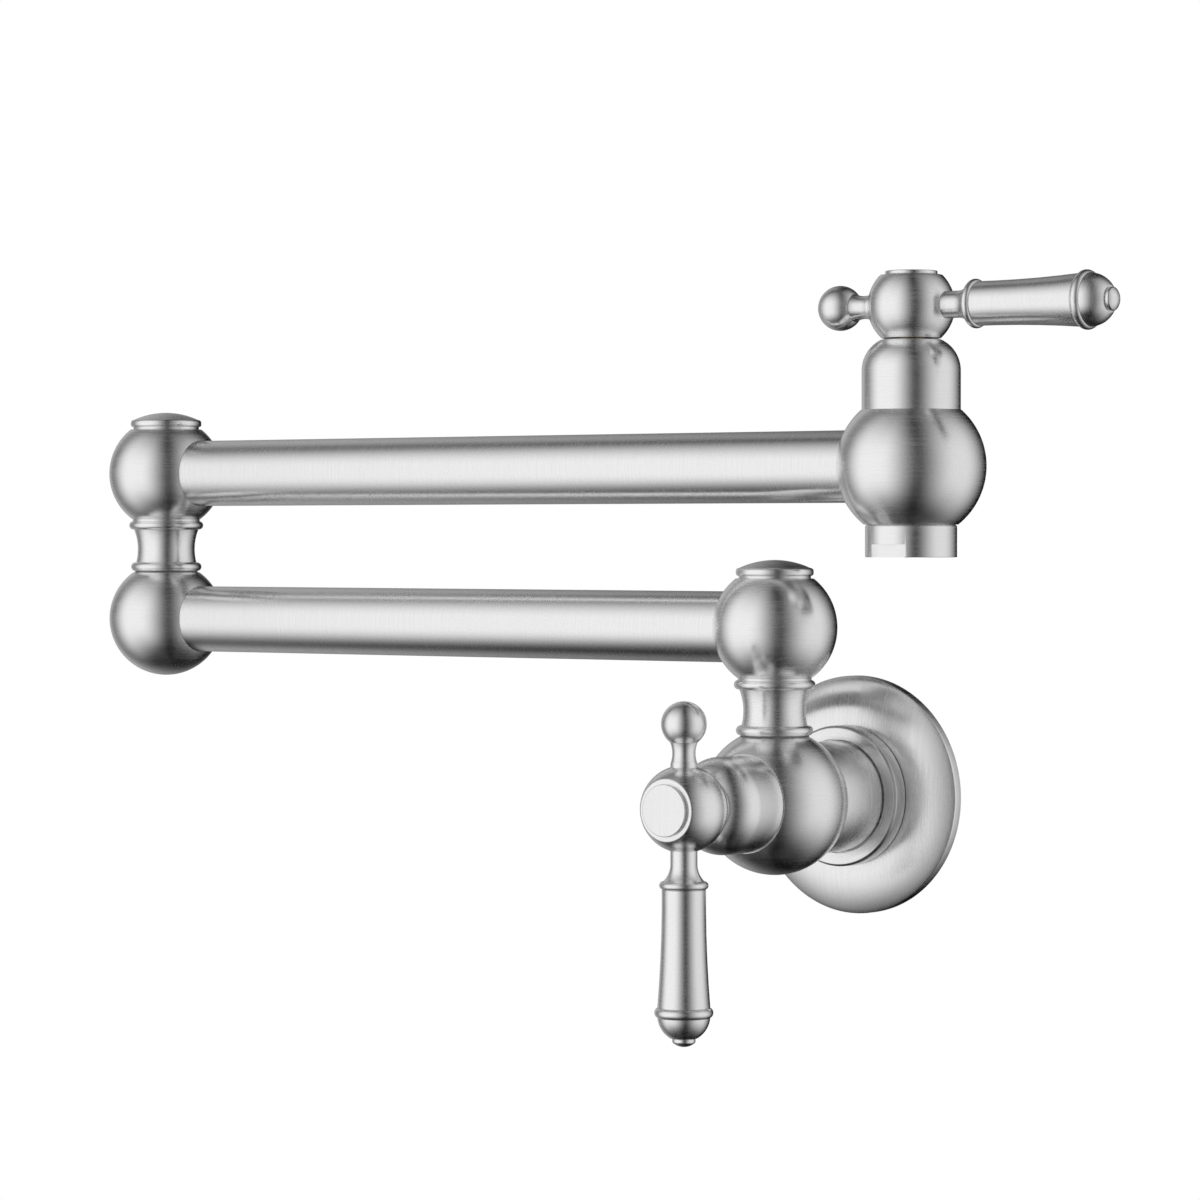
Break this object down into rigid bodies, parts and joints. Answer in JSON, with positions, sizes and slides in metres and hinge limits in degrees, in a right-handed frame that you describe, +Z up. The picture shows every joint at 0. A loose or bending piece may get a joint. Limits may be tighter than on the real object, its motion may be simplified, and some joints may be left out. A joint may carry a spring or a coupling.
{
  "type": "wall mounted pot filler",
  "caption": "Folding wall mounted pot filler in brushed nickel: ball-shaped valve bodies, two tube arms on swivels, lever handles and a downward spout.",
  "frame": {"origin": "centre of the flange on the wall's face, on the inlet's axis", "axes": "+Y into the wall along the inlet, +Z up along the swivels, +X to the right as one faces the wall; the arms are folded, the lower one towards -X"},
  "size_m": [0.3903, 0.1205, 0.2321],
  "materials": {
    "brushed_nickel": "satin brushed nickel plate over brass",
    "brass": "turned, unplated",
    "rubber": "smooth black sealing rubber",
    "ceramic": "lapped alumina ceramic",
    "plastic": "moulded dark grey acetal",
    "stainless": "plain stainless steel"
  },
  "bodies": {
    "wall_valve": {"wall_flange": "brushed_nickel", "wall_gasket": "rubber", "flange_collar": "brushed_nickel", "collar_ring": "rubber", "inlet_nipple": "brass", "inlet_filter": "plastic", "wall_body": "brushed_nickel", "wall_cartridge_housing": "brass", "wall_seat_seal": "rubber", "wall_fixed_disc": "ceramic", "wall_bonnet": "brushed_nickel", "wall_spindle": "brass", "wall_spindle_rings": "rubber", "wall_thrust_washer": "plastic", "wall_retaining_washer": "plastic", "wall_retaining_clip": "stainless"},
    "lower_arm": {"lower_arm_hub": "brushed_nickel", "wall_swivel_cap": "brushed_nickel", "wall_cap_seal": "rubber", "lower_arm_tube": "brushed_nickel", "elbow_body": "brushed_nickel", "elbow_spindle": "brass", "elbow_spindle_rings": "rubber", "elbow_thrust_washer": "plastic", "elbow_retaining_washer": "plastic", "elbow_retaining_clip": "stainless"},
    "upper_arm": {"upper_arm_hub": "brushed_nickel", "elbow_swivel_cap": "brushed_nickel", "elbow_cap_seal": "rubber", "upper_arm_tube": "brushed_nickel", "spout_body": "brushed_nickel", "spout_cartridge_housing": "brass", "spout_seat_seal": "rubber", "spout_fixed_disc": "ceramic", "spout_bonnet": "brushed_nickel", "spout_nozzle": "brushed_nickel", "aerator_insert": "plastic", "aerator_washer": "rubber"},
    "wall_handle": {"wall_moving_disc": "ceramic", "wall_valve_stem": "brass", "wall_stem_rings": "rubber", "wall_handle_hub": "brushed_nickel", "wall_hub_screw": "stainless", "wall_index_cap": "brushed_nickel", "wall_lever_stem": "brushed_nickel", "wall_lever_grip": "brushed_nickel", "wall_lever_end": "brushed_nickel", "wall_lever_button": "brushed_nickel", "wall_finial": "brushed_nickel"},
    "spout_handle": {"spout_moving_disc": "ceramic", "spout_valve_stem": "brass", "spout_stem_rings": "rubber", "spout_handle_hub": "brushed_nickel", "spout_hub_screw": "stainless", "spout_index_cap": "brushed_nickel", "spout_lever_stem": "brushed_nickel", "spout_lever_grip": "brushed_nickel", "spout_lever_end": "brushed_nickel", "spout_lever_button": "brushed_nickel", "spout_finial": "brushed_nickel"}
  },
  "joints": [
    {"name": "wall_swivel", "type": "hinge", "parent": "wall_valve", "child": "lower_arm", "pos_m": [0, -0.048, 0.0534], "axis": [0, 0, 1], "range_deg": [0, 180]},
    {"name": "elbow_swivel", "type": "hinge", "parent": "lower_arm", "child": "upper_arm", "pos_m": [-0.2505, -0.048, 0.0691], "axis": [0, 0, 1], "continuous": true},
    {"name": "wall_handle_turn", "type": "hinge", "parent": "wall_valve", "child": "wall_handle", "pos_m": [0, -0.0964, 0], "axis": [0, -1, 0], "range_deg": [0, 90]},
    {"name": "spout_handle_turn", "type": "hinge", "parent": "upper_arm", "child": "spout_handle", "pos_m": [0.0495, -0.048, 0.15095], "axis": [0, 0, -1], "range_deg": [0, 90]}
  ]
}
